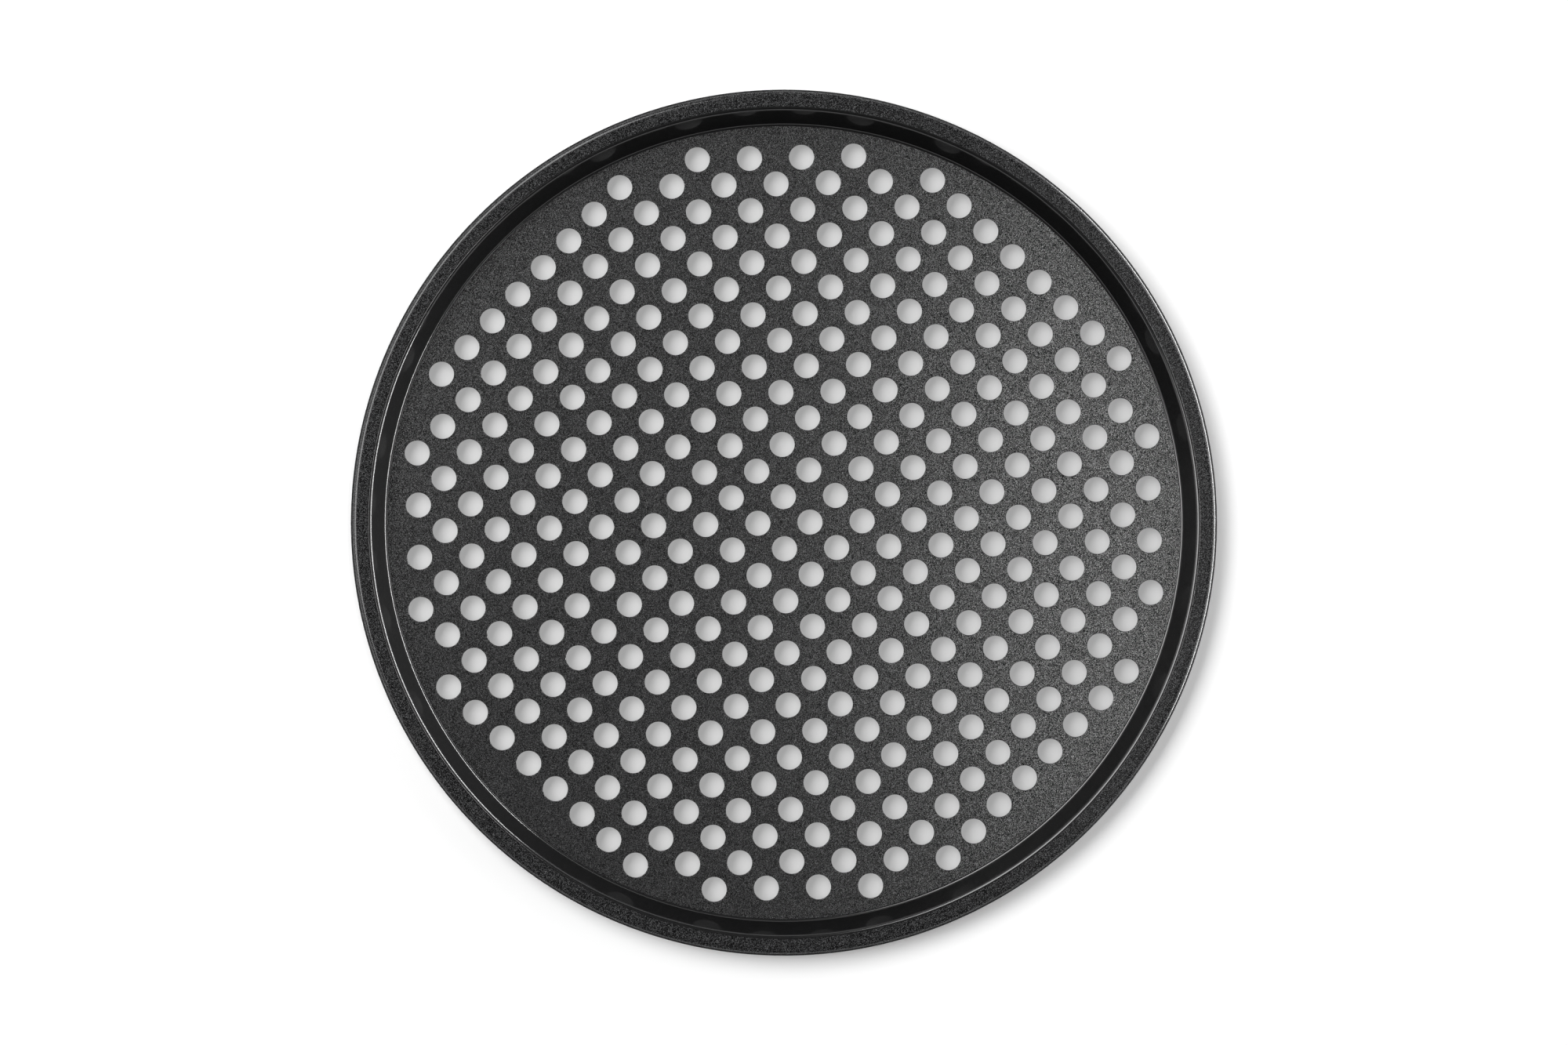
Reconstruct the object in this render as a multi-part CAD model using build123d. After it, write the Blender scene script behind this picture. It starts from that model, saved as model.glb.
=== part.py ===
from build123d import *

import os
from math import atan2, ceil, degrees, hypot, tan

# A round, shallow baking pan for pizza, pressed from one sheet of steel. The floor is flat and punched
# all over with round holes in staggered rows. A low flared wall rises from it to a narrow rim, and the
# rim's edge is rolled outwards, down and back under itself, round a steel wire that stiffens it. Seen
# from above the pan is a disc, and it stands on the underside of its floor.
#
# All lengths are in millimetres. The origin is the centre of the floor's underside, +Z is up, and the
# rows of holes run along X.

# The pan as a whole
OUTER_DIAMETER = 330.0
PAN_DEPTH = 9.5  # from the floor's top to the rim's top
SHEET_THICKNESS = 0.8

# The wall, between floor and rim
WALL_FLARE = 4.4  # how far the wall leans out over its height
FLOOR_CORNER_RADIUS = 1.2  # inside the pan, where the floor turns up into the wall
RIM_BEND_RADIUS = 1.7  # on top, where the wall turns out into the rim

# The rim and its rolled edge
RIM_FLAT_WIDTH = 3.8
CURL_TURN = 290.0  # degrees that the sheet turns round the wire
WIRE_DIAMETER = 3.5
WIRE_CLEARANCE = 0.4  # all round the wire, inside the roll
WIRE_JOINT_GAP = 1.2  # between the two butted ends of the wire

# The holes in the floor
HOLE_DIAMETER = 9.6
HOLE_SPACING = 20.0  # between neighbours in one row
ROW_SPACING = 10.0
FLOOR_BORDER = 3.0  # unpunched flat floor that is left outside every hole

# How far a cutter runs past the sheet on each side
CUT_OVERRUN = 1.0

# The wall's angle to the floor, and how far a bend in it starts before the corner, for each unit of radius
wall_angle = atan2(PAN_DEPTH, WALL_FLARE)
bend_reach = tan(wall_angle / 2)

# The sheet's middle surface: its heights, its bends and where its corners would be if they were sharp
half_sheet = SHEET_THICKNESS / 2
floor_height = half_sheet
rim_height = floor_height + PAN_DEPTH
floor_bend = FLOOR_CORNER_RADIUS + half_sheet
rim_bend = RIM_BEND_RADIUS - half_sheet

wire_radius = WIRE_DIAMETER / 2
curl_radius = wire_radius + WIRE_CLEARANCE + half_sheet
curl_centre = OUTER_DIAMETER / 2 - half_sheet - curl_radius
wire_height = rim_height - curl_radius
rim_corner = curl_centre - RIM_FLAT_WIDTH - rim_bend * bend_reach
floor_corner = rim_corner - WALL_FLARE

# The flat floor inside the lower bend, and the furthest that the centre of a hole may lie
flat_radius = floor_corner - floor_bend * bend_reach
hole_reach = flat_radius - FLOOR_BORDER - HOLE_DIAMETER / 2


def sheet_line(lift):
    """The outline of the sheet from the axis to its raw edge in the roll, lift above its middle surface."""
    shift = lift * bend_reach
    flat_and_wall = FilletPolyline(
        (0, floor_height + lift),
        (floor_corner - shift, floor_height + lift),
        (rim_corner - shift, rim_height + lift),
        (curl_centre, rim_height + lift),
        radius=[floor_bend - lift, rim_bend + lift],
    )
    roll = CenterArc((curl_centre, wire_height), curl_radius + lift, 90, -CURL_TURN)
    return flat_and_wall + roll


def hole_centres():
    """Every site of the staggered rows whose hole leaves the border free, symmetric about the centre."""
    rows = ceil(hole_reach / ROW_SPACING)
    across = ceil(hole_reach / HOLE_SPACING)
    centres = []
    for row in range(-rows, rows + 1):
        stagger = 0 if row % 2 else HOLE_SPACING / 2
        for place in range(-across - 1, across + 1):
            centre = (place * HOLE_SPACING + stagger, row * ROW_SPACING)
            if hypot(*centre) <= hole_reach:
                centres.append(centre)
    return centres


def pan_sheet():
    """The pressed and punched sheet: floor, wall, rim and roll in one piece."""
    top = sheet_line(half_sheet)
    underside = sheet_line(-half_sheet)
    ends = Line(underside @ 0, top @ 0) + Line(top @ 1, underside @ 1)
    sheet = revolve(Plane.XZ * make_face(top + ends + underside), Axis.Z)
    discs = Sketch() + [Pos(x, y, -CUT_OVERRUN) * Circle(HOLE_DIAMETER / 2) for x, y in hole_centres()]
    return sheet - extrude(discs, SHEET_THICKNESS + 2 * CUT_OVERRUN)


def rim_wire():
    """The stiffening wire inside the roll: one round wire bent to a ring, its ends butted."""
    gap_angle = degrees(WIRE_JOINT_GAP / curl_centre)
    section = Plane.XZ * Pos(curl_centre, wire_height) * Circle(wire_radius)
    return Rot(0, 0, gap_angle / 2) * revolve(section, Axis.Z, 360 - gap_angle)


def main():
    os.makedirs("parts", exist_ok=True)
    export_step(pan_sheet(), "parts/pan_sheet.step")
    export_step(rim_wire(), "parts/rim_wire.step")
    print("holes", len(hole_centres()), "height", rim_height + half_sheet)
    print("wall angle", degrees(wall_angle), "flat floor radius", flat_radius, "hole reach", hole_reach)


main()
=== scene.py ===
"""Looks of a round perforated pizza pan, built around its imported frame.

The pan's sheet is a mesh made here: a revolved section for wall, rim and roll, and a flat floor with its
punched holes. It stands for the CAD sheet and follows it in every size. The wire in the roll stays as the
CAD has it. Everything is in metres, in the frame's own axes.
"""

from math import atan2, ceil, cos, degrees, hypot, pi, radians, sin, tan

import bpy
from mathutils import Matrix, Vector
from mathutils.geometry import delaunay_2d_cdt


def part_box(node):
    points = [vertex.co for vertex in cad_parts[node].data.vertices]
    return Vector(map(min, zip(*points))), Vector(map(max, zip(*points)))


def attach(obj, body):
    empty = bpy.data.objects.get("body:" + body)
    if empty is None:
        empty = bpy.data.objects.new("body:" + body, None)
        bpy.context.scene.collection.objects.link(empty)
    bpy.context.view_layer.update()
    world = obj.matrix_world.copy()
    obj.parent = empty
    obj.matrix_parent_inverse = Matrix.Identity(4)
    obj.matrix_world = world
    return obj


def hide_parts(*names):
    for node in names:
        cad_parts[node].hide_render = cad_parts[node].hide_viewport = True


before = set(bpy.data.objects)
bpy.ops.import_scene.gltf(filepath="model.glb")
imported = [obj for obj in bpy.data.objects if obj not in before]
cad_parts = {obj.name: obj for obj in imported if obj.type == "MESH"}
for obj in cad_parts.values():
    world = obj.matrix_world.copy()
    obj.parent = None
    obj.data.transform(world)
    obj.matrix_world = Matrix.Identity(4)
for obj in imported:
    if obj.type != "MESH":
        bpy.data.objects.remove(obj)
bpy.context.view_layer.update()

MM = 0.001

# The sheet: what the frame doesn't tell is repeated from the CAD
SHEET_THICKNESS = 0.8 * MM
WALL_FLARE = 4.4 * MM
FLOOR_CORNER_RADIUS = 1.2 * MM
RIM_BEND_RADIUS = 1.7 * MM
RIM_FLAT_WIDTH = 3.8 * MM
CURL_TURN = 290
HOLE_DIAMETER = 9.6 * MM
HOLE_SPACING = 20.0 * MM
ROW_SPACING = 10.0 * MM
FLOOR_BORDER = 3.0 * MM

# The punched edges are a little round under the coating, more so on the side that the punch entered
TOP_EDGE_RADIUS = 0.22 * MM
LOWER_EDGE_RADIUS = 0.1 * MM

# How finely round things are divided
STEPS_AROUND = 288
HOLE_STEPS = 32
TOP_EDGE_STEPS = 3
LOWER_EDGE_STEPS = 1
ARC_STEP = 12  # degrees, at most, in an arc of the section

# The photograph's frame and where the pan lies in it, in pixels
PHOTO_WIDTH = 2000
PHOTO_HEIGHT = 1333
PAN_CENTRE_X = 999.9
PAN_CENTRE_Y = 666.7
PAN_RADIUS = 552.3

# The coating's flecks are cells about a fifth of a millimetre wide. The higher the rarity, the fewer
# stand out by their colour or their glint
FLECK_SCALE = 5200
FLECK_RARITY = 4
GLINT_RARITY = 4
FLECK_RELIEF = 0.003 * MM

# The coating's six zones. "shine" is its gloss, and where it "glitters" each fleck has a gloss of its own
NO_COAT = {"coat": 0.0, "coat_roughness": 0.1, "coat_index": 1.5}
FLOOR_LOOK = {
    "name": "coating_floor",
    "ground": (0.002, 0.002, 0.0021, 1),
    "fleck": (0.094, 0.0946, 0.096, 1),
    "shine": 0.33,
    "index": 2.15,
    "smoothest": 0.274,
    "roughest": 0.28,
    "glitters": True,
    "relief": FLECK_RELIEF,
    **NO_COAT,
}
BEND_LOOK = {
    "name": "coating_bend",
    "ground": (0.001, 0.001, 0.0011, 1),
    "fleck": (0.01, 0.01, 0.0103, 1),
    "shine": 0.12,
    "index": 1.5,
    "smoothest": 0.42,
    "roughest": 0.5,
    "glitters": False,
    "relief": 0.0,
    "coat": 1.0,
    "coat_roughness": 0.12,
    "coat_index": 1.65,
}
WALL_LOOK = {
    **BEND_LOOK,
    "name": "coating_wall",
    "coat": 0.3,
    "coat_roughness": 0.06,
    "coat_index": 1.5,
}
RIM_LOOK = {
    "name": "coating_rim",
    "ground": (0.001, 0.001, 0.0011, 1),
    "fleck": (0.13, 0.1308, 0.1335, 1),
    "shine": 0.08,
    "index": 1.5,
    "smoothest": 0.2,
    "roughest": 0.3,
    "glitters": False,
    "relief": FLECK_RELIEF,
    **NO_COAT,
}
ROLL_LOOK = {
    **RIM_LOOK,
    "name": "coating_roll",
    "coat": 0.85,
    "coat_roughness": 0.19,
}
UNDERSIDE_LOOK = {
    "name": "coating_underside",
    "ground": (0.004, 0.0041, 0.0042, 1),
    "fleck": (0.07, 0.0705, 0.072, 1),
    "shine": 0.03,
    "index": 1.5,
    "smoothest": 0.5,
    "roughest": 0.65,
    "glitters": False,
    "relief": FLECK_RELIEF,
    **NO_COAT,
}
COATINGS = (FLOOR_LOOK, BEND_LOOK, WALL_LOOK, RIM_LOOK, ROLL_LOOK, UNDERSIDE_LOOK)

# Zones of the sheet, in the order of COATINGS and of its materials
FLOOR, BEND, WALL, RIM, ROLL, UNDER = range(len(COATINGS))
GLOSS_START = 78  # degrees above the roll's widest line, between which it is glossy
GLOSS_END = 47

# The wire's bare steel
STEEL_DARK = (0.34, 0.33, 0.32, 1)
STEEL_LIGHT = (0.58, 0.58, 0.6, 1)
STEEL_CLOUD_SCALE = 420
STEEL_CLOUD_DETAIL = 4
STEEL_SMOOTHEST = 0.25
STEEL_ROUGHEST = 0.5

# The camera looks straight down, turned a little about its own axis
CAMERA_HEIGHT = 1.035  # above the rim
CAMERA_ROLL = 1.33  # degrees that the rows of holes rise to the right in the picture
SENSOR_WIDTH = 36  # in millimetres, as the lens is
NEAREST_SEEN = 0.01
FURTHEST_SEEN = 50

# The studio floor
FLOOR_RADIUS = 4.0
FLOOR_CLEARANCE = 0.05 * MM
WELL_DEPTH = 4.0 * MM
FLOOR_TONE = 0.98
# Painted shade: the well's bottom is a darker grey than the floor, as shade under the pan
WELL_PAINTED_SHADE_TONE = 0.42
FLOOR_ROUGHNESS = 0.9
FLOOR_LIFT = 0.06  # added where the floor is seen, so that it is white around the shadow
# Painted light: the well's bottom glows more where it is seen, as soft light in the holes
WELL_PAINTED_LIGHT_LIFT = 0.3
WHITE_START = 0.45  # distances from the pan between which the floor turns plain white where it is seen
WHITE_END = 1.1

# The surround: dim above, and seen as a white backdrop near the horizon
SURROUND_STRENGTH = 0.04
BACKDROP_TOP = 0.24  # sines of the elevations between which the backdrop fades into the dim surround
BACKDROP_END = 0.4

# Softboxes: name, azimuth and elevation in degrees, distance, width, height, and brightness as seen
# from the pan
LAMPS = (
    ("key", 150, 51, 1.6, 1.8, 0.9, 6.0),
    ("edge_right", 10, 4, 1.6, 2.6, 0.12, 45.0),
    ("low_right", 10, 10, 1.6, 2.6, 0.2, 6.0),
    ("middle_right", 12, 27, 1.6, 2.0, 0.5, 2.2),
    ("low_left", 175, 16, 1.6, 2.4, 0.4, 0.8),
    ("overhead", 0, 77.5, 1.6, 0.8, 0.08, 13.0),
)

_, pan_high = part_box("pan_sheet")
wire_low, wire_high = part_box("rim_wire")

# Heights and radii of the section, from the frame's boxes and the sizes above
rim_top = pan_high.z
wire_radius = (wire_high.z - wire_low.z) / 2
wire_height = (wire_high.z + wire_low.z) / 2
roll_centre = wire_high.x - wire_radius
roll_radius = rim_top - wire_height
floor_top = SHEET_THICKNESS
wall_angle = atan2(rim_top - floor_top, WALL_FLARE)
bend_reach = tan(wall_angle / 2)
bend_end = roll_centre - RIM_FLAT_WIDTH
half_sheet = SHEET_THICKNESS / 2
rim_corner = bend_end - (RIM_BEND_RADIUS - half_sheet) * bend_reach
flat_radius = rim_corner - WALL_FLARE - (FLOOR_CORNER_RADIUS + half_sheet) * bend_reach
hole_radius = HOLE_DIAMETER / 2
hole_reach = flat_radius - FLOOR_BORDER - hole_radius
ring_start = flat_radius - FLOOR_BORDER / 2  # where the revolved section takes over from the punched floor


def arc(centre, radius, start, end, side):
    """Points of an arc of the section with their normals: side is 1 where the sheet lies inside it."""
    steps = max(2, ceil(abs(end - start) / ARC_STEP))
    points = []
    for step in range(steps + 1):
        angle = radians(start + (end - start) * step / steps)
        out = (cos(angle), sin(angle))
        place = (centre[0] + radius * out[0], centre[1] + radius * out[1])
        points.append((*place, side * out[0], side * out[1]))
    return points


def section():
    """The sheet's section outside the punched floor, as (radius, height, two parts of the normal, zone).

    It runs out along the top, round the roll to the raw edge, and back along the underside. A point's
    zone is that of the stretch that ends at it.
    """
    lean = 90 - degrees(wall_angle)
    corner = (flat_radius, floor_top + FLOOR_CORNER_RADIUS)
    bend = (bend_end, rim_top - RIM_BEND_RADIUS)
    roll = (roll_centre, wire_height)
    roll_middle = roll_radius - half_sheet
    roll_end = 90 - CURL_TURN + degrees(half_sheet / roll_middle)
    raw_angle = radians(roll_end)
    raw_edge = (roll[0] + roll_middle * cos(raw_angle), roll[1] + roll_middle * sin(raw_angle))
    bend_top = arc(bend, RIM_BEND_RADIUS, 180 - lean, 90, 1)
    bend_under = arc(bend, RIM_BEND_RADIUS - SHEET_THICKNESS, 90, 180 - lean, -1)

    line = []
    for zone, part in (
        (FLOOR, [(ring_start, floor_top, 0, 1), (flat_radius, floor_top, 0, 1)]),
        (BEND, arc(corner, FLOOR_CORNER_RADIUS, -90, -lean, -1)[1:]),
        (WALL, bend_top[:1]),
        (BEND, bend_top[1:]),
        (RIM, arc(roll, roll_radius, 90, GLOSS_START, 1)),
        (ROLL, arc(roll, roll_radius, GLOSS_START, GLOSS_END, 1)[1:]),
        (UNDER, arc(roll, roll_radius, GLOSS_END, roll_end, 1)[1:]),
        (UNDER, arc(raw_edge, half_sheet, roll_end, roll_end - 180, 1)[1:-1]),
        (UNDER, arc(roll, roll_radius - SHEET_THICKNESS, roll_end, 90, -1)),
        (UNDER, bend_under),
        (UNDER, arc(corner, FLOOR_CORNER_RADIUS + SHEET_THICKNESS, -lean, -90, 1)),
        (UNDER, [(ring_start, 0, 0, -1)]),
    ):
        line.extend((*point, zone) for point in part)
    return line


class MeshLists:
    """The vertices, normals, faces and the faces' zones of a mesh that is being put together."""

    def __init__(self):
        self.places = []
        self.normals = []
        self.faces = []
        self.zones = []

    def add(self, place, normal):
        self.places.append(place)
        self.normals.append(normal)
        return len(self.places) - 1

    def face(self, corners, zone, flip=False):
        self.faces.append(corners[::-1] if flip else corners)
        self.zones.append(zone)

    def join_rings(self, first, second, zone, flip=False):
        """Quads between two closed rings of as many vertices."""
        count = len(first)
        for step in range(count):
            after = (step + 1) % count
            self.face((first[step], second[step], second[after], first[after]), zone, flip)


def hole_centres():
    """Every site of the staggered rows whose hole leaves the border free."""
    rows = ceil(hole_reach / ROW_SPACING)
    across = ceil(hole_reach / HOLE_SPACING)
    centres = []
    for row in range(-rows, rows + 1):
        stagger = 0 if row % 2 else HOLE_SPACING / 2
        for place in range(-across - 1, across + 1):
            centre = (place * HOLE_SPACING + stagger, row * ROW_SPACING)
            if hypot(*centre) <= hole_reach:
                centres.append(centre)
    return centres


def add_revolved(mesh):
    """The revolved part of the sheet. Returns its first and last ring, where the floor's sides begin."""
    rings = []
    zones = []
    for radius, height, out, up, zone in section():
        ring = []
        for step in range(STEPS_AROUND):
            angle = 2 * pi * step / STEPS_AROUND
            place = (radius * cos(angle), radius * sin(angle), height)
            ring.append(mesh.add(place, (out * cos(angle), out * sin(angle), up)))
        rings.append(ring)
        zones.append(zone)
    for before, after, zone in zip(rings, rings[1:], zones[1:]):
        mesh.join_rings(before, after, zone)
    return rings[0], rings[-1]


def hole_profile():
    """One punched hole from the floor's top to its underside: (radius, height, two parts of the normal)."""
    profile = []
    for step in range(TOP_EDGE_STEPS + 1):
        turn = radians(90) * step / TOP_EDGE_STEPS
        across = hole_radius + TOP_EDGE_RADIUS * (1 - sin(turn))
        height = floor_top - TOP_EDGE_RADIUS * (1 - cos(turn))
        profile.append((across, height, -sin(turn), cos(turn)))
    for step in range(LOWER_EDGE_STEPS + 1):
        turn = radians(90) * (1 - step / LOWER_EDGE_STEPS)
        across = hole_radius + LOWER_EDGE_RADIUS * (1 - sin(turn))
        height = LOWER_EDGE_RADIUS * (1 - cos(turn))
        profile.append((across, height, -sin(turn), -cos(turn)))
    return profile


def add_hole(mesh, centre):
    """One hole's rounded edges and cut wall. Returns its upper and its lower ring."""
    rings = []
    for radius, height, out, up in hole_profile():
        ring = []
        for step in range(HOLE_STEPS):
            angle = 2 * pi * step / HOLE_STEPS
            place = (centre[0] + radius * cos(angle), centre[1] + radius * sin(angle), height)
            ring.append(mesh.add(place, (out * cos(angle), out * sin(angle), up)))
        rings.append(ring)
    for before, after in zip(rings, rings[1:]):
        mesh.join_rings(before, after, FLOOR, flip=True)
    return rings[0], rings[-1]


def fill_floor(mesh, outline, holes, zone):
    """Triangles between the floor's outline and its holes, on the sheet's top or its underside."""
    loops = [outline, *holes]
    members = [vertex for loop in loops for vertex in loop]
    owner = [number for number, loop in enumerate(loops) for _ in loop]
    flat = [Vector((mesh.places[v][0] / MM, mesh.places[v][1] / MM)) for v in members]
    edges = []
    start = 0
    for loop in loops:
        count = len(loop)
        edges.extend((start + step, start + (step + 1) % count) for step in range(count))
        start += count
    inside_outline = 1
    tolerance = 1e-6
    _, _, triangles, sources, _, _ = delaunay_2d_cdt(flat, edges, [], inside_outline, tolerance)
    for triangle in triangles:
        corners = [sources[corner][0] for corner in triangle]
        owners = {owner[corner] for corner in corners}
        if len(owners) == 1 and owners != {0}:
            continue  # it lies in a hole
        mesh.face(tuple(members[corner] for corner in corners), zone, flip=zone == UNDER)


def pan_skin():
    """The whole pressed, punched and rolled sheet as one closed mesh."""
    mesh = MeshLists()
    top_ring, under_ring = add_revolved(mesh)
    holes = [add_hole(mesh, centre) for centre in hole_centres()]
    fill_floor(mesh, top_ring, [upper for upper, _ in holes], FLOOR)
    fill_floor(mesh, under_ring, [lower for _, lower in holes], UNDER)

    data = bpy.data.meshes.new("pan_skin")
    data.from_pydata(mesh.places, [], mesh.faces)
    data.shade_smooth()
    data.normals_split_custom_set_from_vertices(mesh.normals)
    data.polygons.foreach_set("material_index", mesh.zones)
    for look in COATINGS:
        data.materials.append(coating_material(look))
    data.validate()
    piece = bpy.data.objects.new("pan_skin", data)
    bpy.context.scene.collection.objects.link(piece)
    return piece


def new_material(name):
    """An empty node material with its Principled shader."""
    material = bpy.data.materials.new(name)
    material.use_nodes = True
    return material, material.node_tree.nodes, material.node_tree.links


def calculation(nodes, links, operation, first, second):
    """The output of a Math node, of an output and either another output or a number."""
    node = nodes.new("ShaderNodeMath")
    node.operation = operation
    links.new(first, node.inputs[0])
    if isinstance(second, (int, float)):
        node.inputs[1].default_value = second
    else:
        links.new(second, node.inputs[1])
    return node.outputs["Value"]


def ramp(nodes, links, value, to_low, to_high, from_low=0, from_high=1):
    """The output of a Map Range node, which turns from_low into to_low and from_high into to_high."""
    node = nodes.new("ShaderNodeMapRange")
    node.inputs["From Min"].default_value = from_low
    node.inputs["From Max"].default_value = from_high
    node.inputs["To Min"].default_value = to_low
    node.inputs["To Max"].default_value = to_high
    links.new(value, node.inputs["Value"])
    return node.outputs["Result"]


def blended_colour(nodes, links, factor, first, second):
    """The output of a Mix node between two colours."""
    node = nodes.new("ShaderNodeMix")
    node.data_type = "RGBA"
    node.inputs["A"].default_value = first
    node.inputs["B"].default_value = second
    links.new(factor, node.inputs["Factor"])
    return node.outputs["Result"]


def coating_material(look):
    """Dark non-stick coating, full of fine light flecks on floor and rim, smooth on the wall."""
    material, nodes, links = new_material(look["name"])
    shader = nodes["Principled BSDF"]
    shader.inputs["Specular IOR Level"].default_value = look["shine"]
    shader.inputs["IOR"].default_value = look["index"]
    shader.inputs["Coat Weight"].default_value = look["coat"]
    shader.inputs["Coat Roughness"].default_value = look["coat_roughness"]
    shader.inputs["Coat IOR"].default_value = look["coat_index"]
    place = nodes.new("ShaderNodeTexCoord").outputs["Object"]

    flecks = nodes.new("ShaderNodeTexVoronoi")
    flecks.inputs["Scale"].default_value = FLECK_SCALE
    links.new(place, flecks.inputs["Vector"])
    apart = nodes.new("ShaderNodeSeparateColor")
    links.new(flecks.outputs["Color"], apart.inputs["Color"])

    tone = calculation(nodes, links, "POWER", apart.outputs["Red"], FLECK_RARITY)
    colour = blended_colour(nodes, links, tone, look["ground"], look["fleck"])
    links.new(colour, shader.inputs["Base Color"])
    rough = ramp(nodes, links, apart.outputs["Blue"], look["smoothest"], look["roughest"])
    links.new(rough, shader.inputs["Roughness"])

    bump = nodes.new("ShaderNodeBump")
    bump.inputs["Distance"].default_value = look["relief"]
    links.new(apart.outputs["Green"], bump.inputs["Height"])
    links.new(bump.outputs["Normal"], shader.inputs["Normal"])

    if look["glitters"]:
        glint = calculation(nodes, links, "POWER", apart.outputs["Green"], GLINT_RARITY)
        links.new(glint, shader.inputs["Specular IOR Level"])
    return material


def wire_material():
    """Bare drawn steel wire, a little clouded by dull oxide."""
    material, nodes, links = new_material("wire_steel")
    shader = nodes["Principled BSDF"]
    shader.inputs["Metallic"].default_value = 1
    place = nodes.new("ShaderNodeTexCoord").outputs["Object"]
    cloud = nodes.new("ShaderNodeTexNoise")
    cloud.inputs["Scale"].default_value = STEEL_CLOUD_SCALE
    cloud.inputs["Detail"].default_value = STEEL_CLOUD_DETAIL
    links.new(place, cloud.inputs["Vector"])
    colour = blended_colour(nodes, links, cloud.outputs["Fac"], STEEL_DARK, STEEL_LIGHT)
    links.new(colour, shader.inputs["Base Color"])
    rough = ramp(nodes, links, cloud.outputs["Fac"], STEEL_SMOOTHEST, STEEL_ROUGHEST)
    links.new(rough, shader.inputs["Roughness"])
    return material


def seen_rays(nodes, links):
    """1 where a surface is seen straight, mirrored or through glass, and 0 where it only lights another."""
    rays = nodes.new("ShaderNodeLightPath").outputs
    straight = calculation(nodes, links, "MAXIMUM", rays["Is Camera Ray"], rays["Is Glossy Ray"])
    return calculation(nodes, links, "MAXIMUM", straight, rays["Is Transmission Ray"])


def floor_material(name, tone, lift):
    """Studio floor that keeps the shadows on it, and is plain white further out where it is seen."""
    material, nodes, links = new_material(name)
    shader = nodes["Principled BSDF"]
    shader.inputs["Base Color"].default_value = (tone, tone, tone, 1)
    shader.inputs["Roughness"].default_value = FLOOR_ROUGHNESS
    shader.inputs["Specular IOR Level"].default_value = 0
    shader.inputs["Emission Color"].default_value = (1, 1, 1, 1)
    place = nodes.new("ShaderNodeTexCoord").outputs["Object"]
    reach = nodes.new("ShaderNodeVectorMath")
    reach.operation = "LENGTH"
    links.new(place, reach.inputs[0])
    glow = ramp(nodes, links, reach.outputs["Value"], lift, 1, WHITE_START, WHITE_END)
    added = calculation(nodes, links, "MULTIPLY", seen_rays(nodes, links), glow)
    links.new(added, shader.inputs["Emission Strength"])
    return material


def add_floor():
    """A large plain floor under the pan, with a shallow well below the holes.

    The pan's solid border stands on the well's edge. What shows through the holes so lies a little
    below the sheet and in its shade, as in the photograph. The well's bottom also carries painted shade,
    a darker grey than the floor, and a painted glow where it is seen that stands in for soft light there.
    """
    well_radius = (hole_reach + hole_radius + flat_radius) / 2
    rims = ((FLOOR_RADIUS, 0), (well_radius, 0), (well_radius, -WELL_DEPTH))
    places = []
    for radius, height in rims:
        for step in range(STEPS_AROUND):
            angle = 2 * pi * step / STEPS_AROUND
            places.append((radius * cos(angle), radius * sin(angle), height))
    faces = []
    for ring in range(len(rims) - 1):
        start = ring * STEPS_AROUND
        for step in range(STEPS_AROUND):
            after = (step + 1) % STEPS_AROUND
            near = start + STEPS_AROUND
            faces.append((start + step, start + after, near + after, near + step))
    bottom = (len(rims) - 1) * STEPS_AROUND
    faces.append(tuple(range(bottom, bottom + STEPS_AROUND)))
    data = bpy.data.meshes.new("studio_floor")
    data.from_pydata(places, [], faces)
    data.materials.append(floor_material("studio_floor", FLOOR_TONE, FLOOR_LIFT))
    data.materials.append(floor_material("studio_well_painted_shade", WELL_PAINTED_SHADE_TONE, WELL_PAINTED_LIGHT_LIFT))
    data.polygons[len(faces) - 1].material_index = 1
    ground = bpy.data.objects.new("studio_floor", data)
    bpy.context.scene.collection.objects.link(ground)
    ground.location.z = -FLOOR_CLEARANCE
    return ground


def add_softbox(name, azimuth, elevation, distance, width, height, radiance):
    """A rectangular area light that faces the pan, of a given brightness as seen from it."""
    lamp = bpy.data.lights.new(name, "AREA")
    lamp.shape = "RECTANGLE"
    lamp.size = width
    lamp.size_y = height
    lamp.energy = radiance * pi * width * height
    light = bpy.data.objects.new(name, lamp)
    bpy.context.scene.collection.objects.link(light)
    turn = radians(azimuth)
    rise = radians(elevation)
    flat = distance * cos(rise)
    towards = Vector((flat * cos(turn), flat * sin(turn), distance * sin(rise)))
    light.location = towards
    light.rotation_euler = towards.to_track_quat("Z", "Y").to_euler()
    return light


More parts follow.
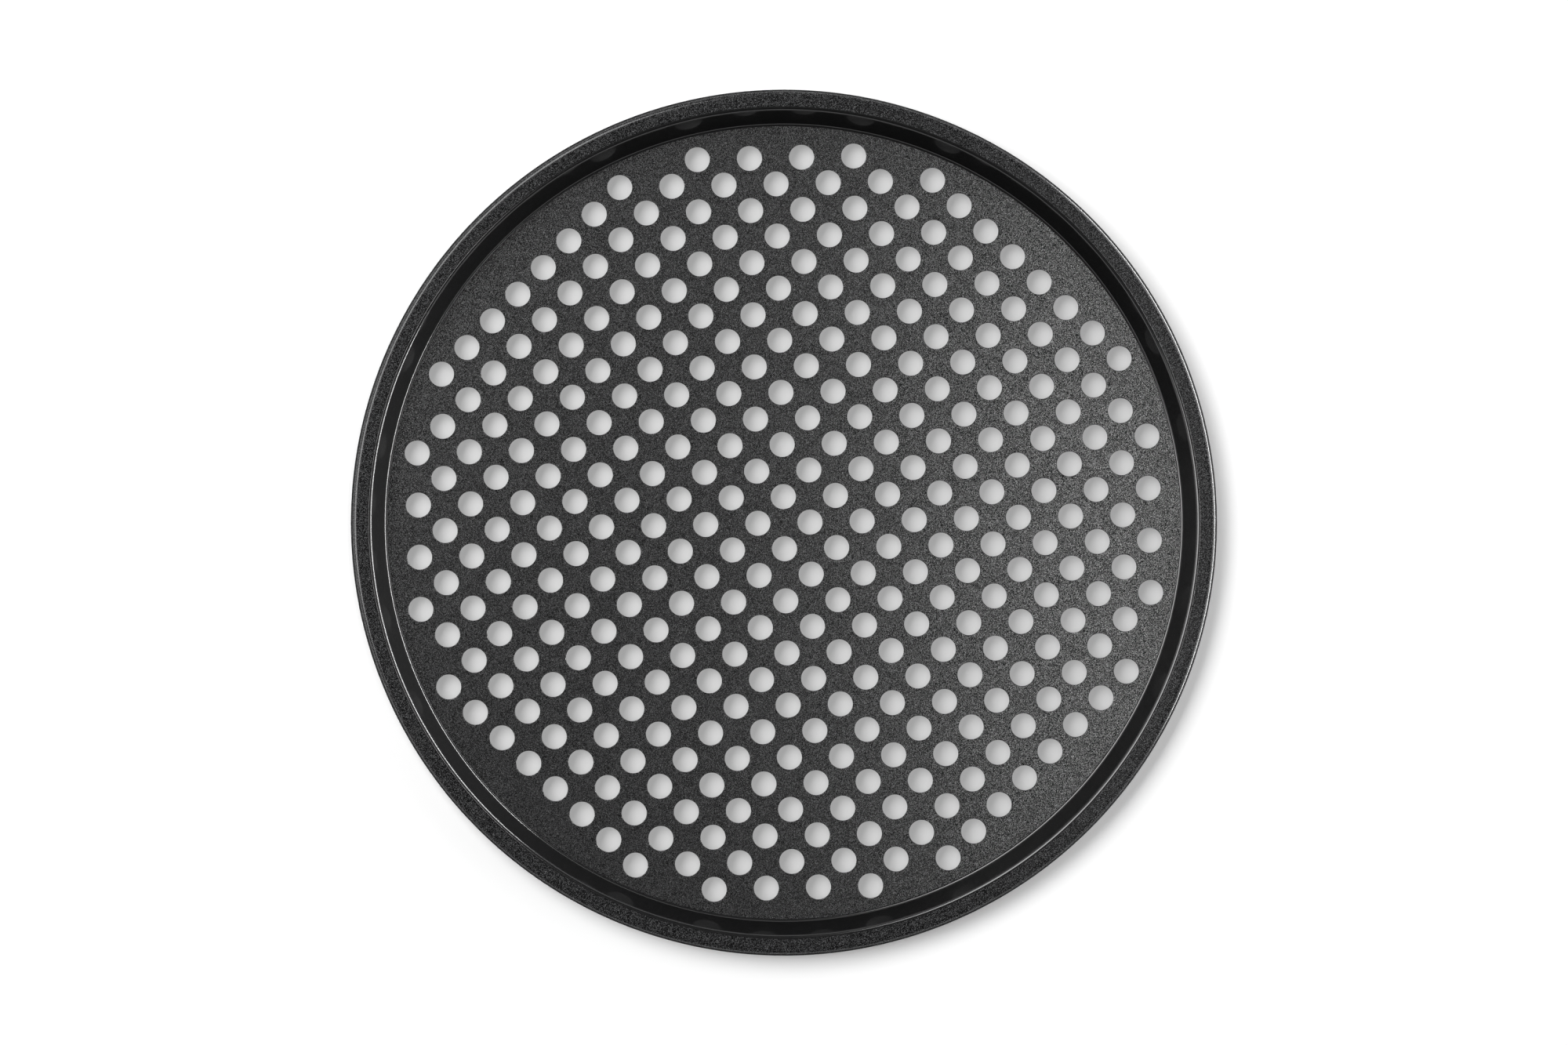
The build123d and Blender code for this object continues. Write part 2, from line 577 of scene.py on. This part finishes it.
def add_camera():
    """Straight above, so far up and so wide that the pan lies in the picture as in the photograph."""
    camera = bpy.data.cameras.new("camera")
    scale = PAN_RADIUS / (roll_centre + roll_radius)  # pixels for a metre where the roll is widest
    camera.sensor_fit = "HORIZONTAL"
    camera.sensor_width = SENSOR_WIDTH
    camera.lens = (CAMERA_HEIGHT + roll_radius) * scale * SENSOR_WIDTH / PHOTO_WIDTH
    camera.shift_x = (PHOTO_WIDTH / 2 - PAN_CENTRE_X) / PHOTO_WIDTH
    camera.shift_y = (PAN_CENTRE_Y - PHOTO_HEIGHT / 2) / PHOTO_WIDTH
    camera.clip_start = NEAREST_SEEN
    camera.clip_end = FURTHEST_SEEN
    seen = bpy.data.objects.new("camera", camera)
    bpy.context.scene.collection.objects.link(seen)
    seen.location = (0, 0, rim_top + CAMERA_HEIGHT)
    seen.rotation_euler = (0, 0, -radians(CAMERA_ROLL))
    bpy.context.scene.camera = seen
    return seen




def set_world():
    """A dim even surround, in which a white backdrop is seen all round near the horizon."""
    world = bpy.data.worlds.new("surround")
    world.use_nodes = True
    nodes = world.node_tree.nodes
    links = world.node_tree.links
    shade = nodes["Background"]
    shade.inputs["Color"].default_value = (1, 1, 1, 1)
    way = nodes.new("ShaderNodeSeparateXYZ")
    links.new(nodes.new("ShaderNodeTexCoord").outputs["Generated"], way.inputs["Vector"])
    backdrop = ramp(nodes, links, way.outputs["Z"], 1, SURROUND_STRENGTH, BACKDROP_TOP, BACKDROP_END)
    strength = nodes.new("ShaderNodeMix")
    strength.inputs["A"].default_value = SURROUND_STRENGTH
    links.new(seen_rays(nodes, links), strength.inputs["Factor"])
    links.new(backdrop, strength.inputs["B"])
    links.new(strength.outputs["Result"], shade.inputs["Strength"])
    bpy.context.scene.world = world


pan = pan_skin()
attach(pan, "root")
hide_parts("pan_sheet")

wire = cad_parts["rim_wire"]
steel = wire_material()
for slot in wire.material_slots:
    slot.material = steel

add_floor()
add_camera()
set_world()
for name, azimuth, elevation, distance, width, height, radiance in LAMPS:
    add_softbox(name, azimuth, elevation, distance, width, height, radiance)
bpy.context.scene.view_settings.view_transform = "Standard"
